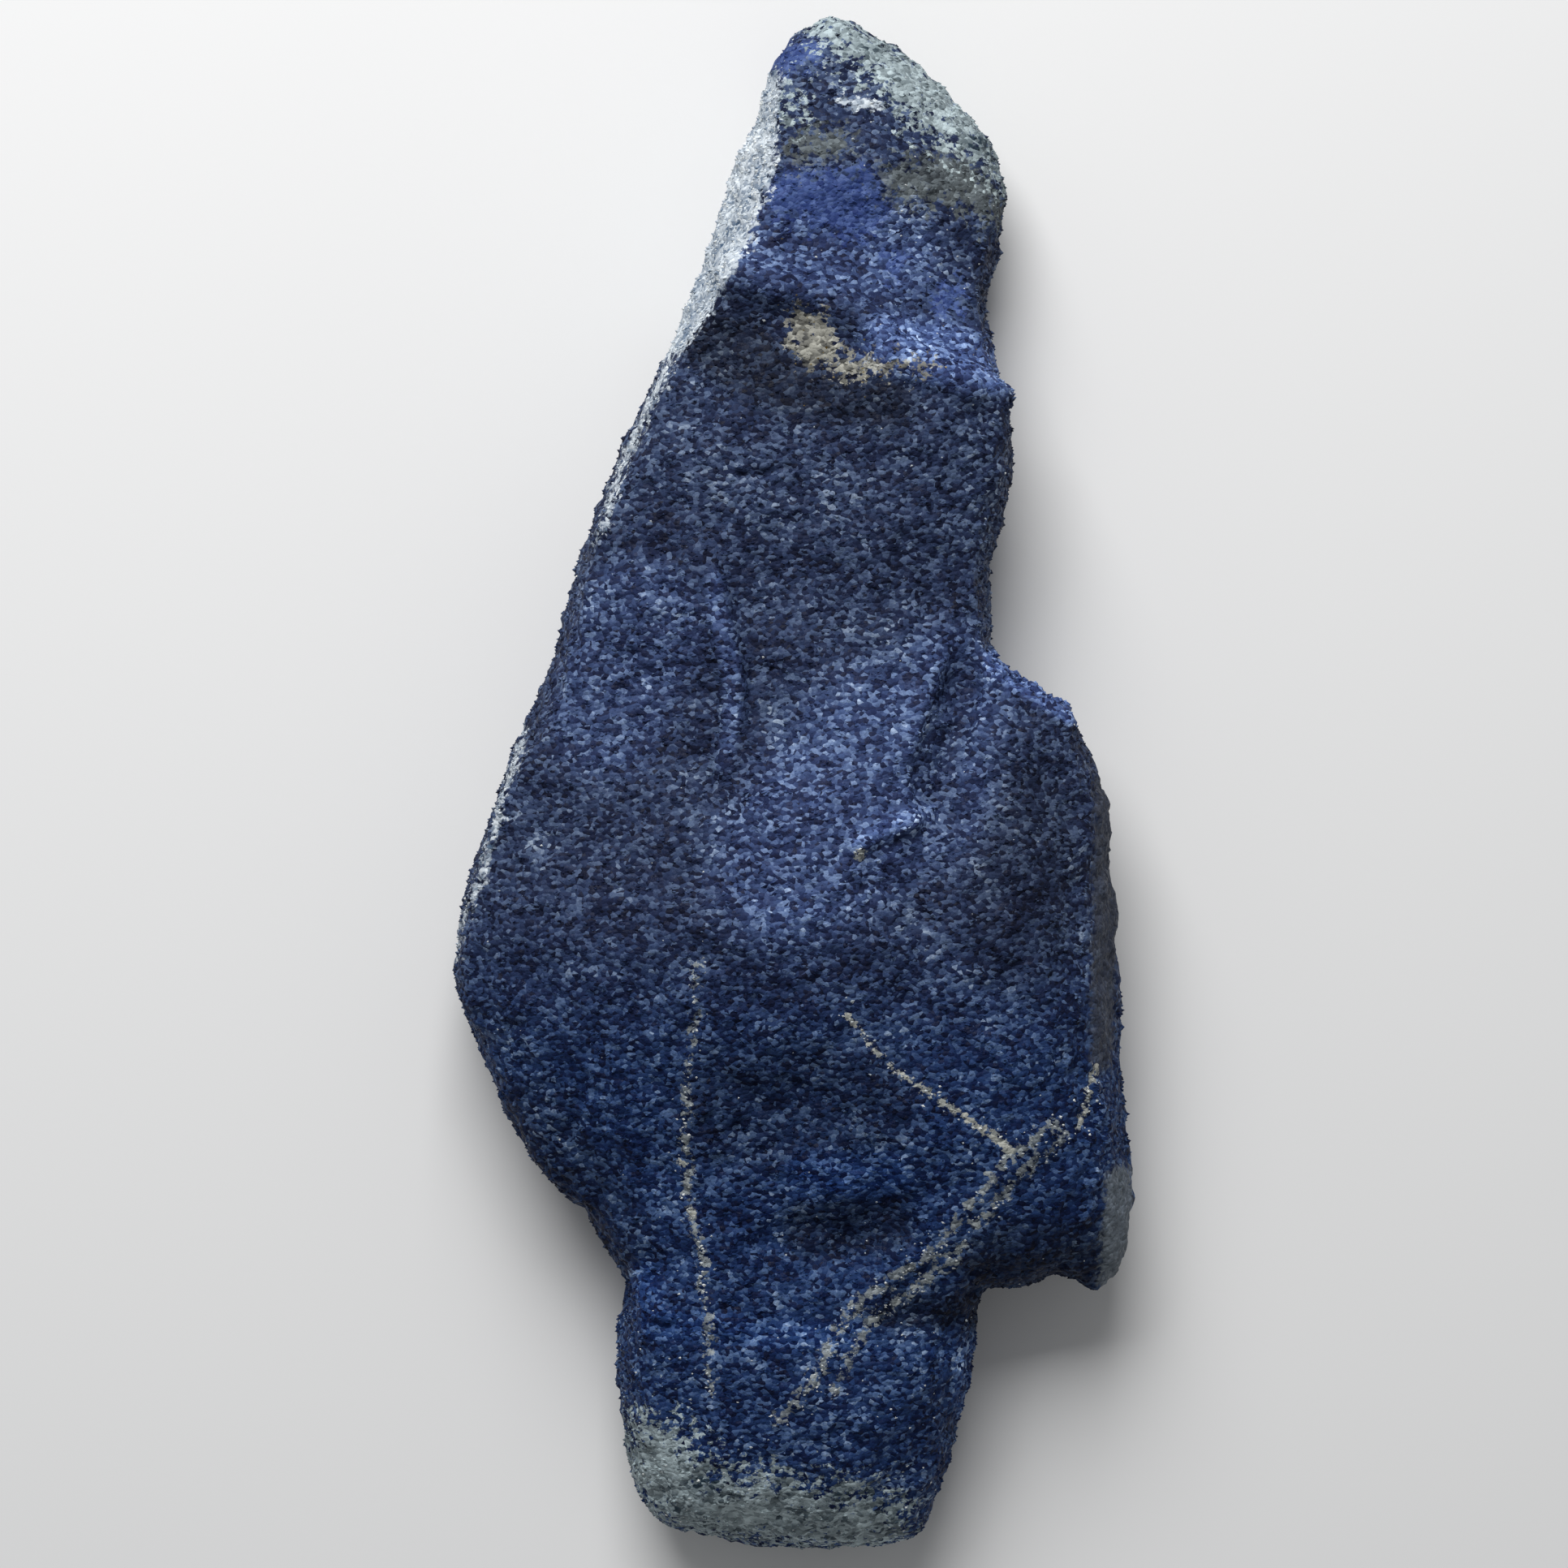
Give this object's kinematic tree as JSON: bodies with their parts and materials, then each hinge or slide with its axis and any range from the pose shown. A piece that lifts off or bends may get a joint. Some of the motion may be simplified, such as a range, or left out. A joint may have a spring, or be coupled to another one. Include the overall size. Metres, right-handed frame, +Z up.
{
  "type": "rough lapis lazuli stone",
  "caption": "Long rough block of deep blue lapis lazuli with a pointed tip, a side lobe and a blunt foot, lying on its back on a small flat spot.",
  "frame": {"origin": "on the surface that the stone rests on, under the middle of its outline", "axes": "+Y along the stone towards its pointed tip, +Z up through the broken front face, +X towards the side lobe"},
  "size_m": [0.221, 0.502, 0.08],
  "materials": {
    "lapis_rock": "matte"
  },
  "bodies": {
    "root": {"lapis_stone": "lapis_rock"}
  },
  "joints": []
}
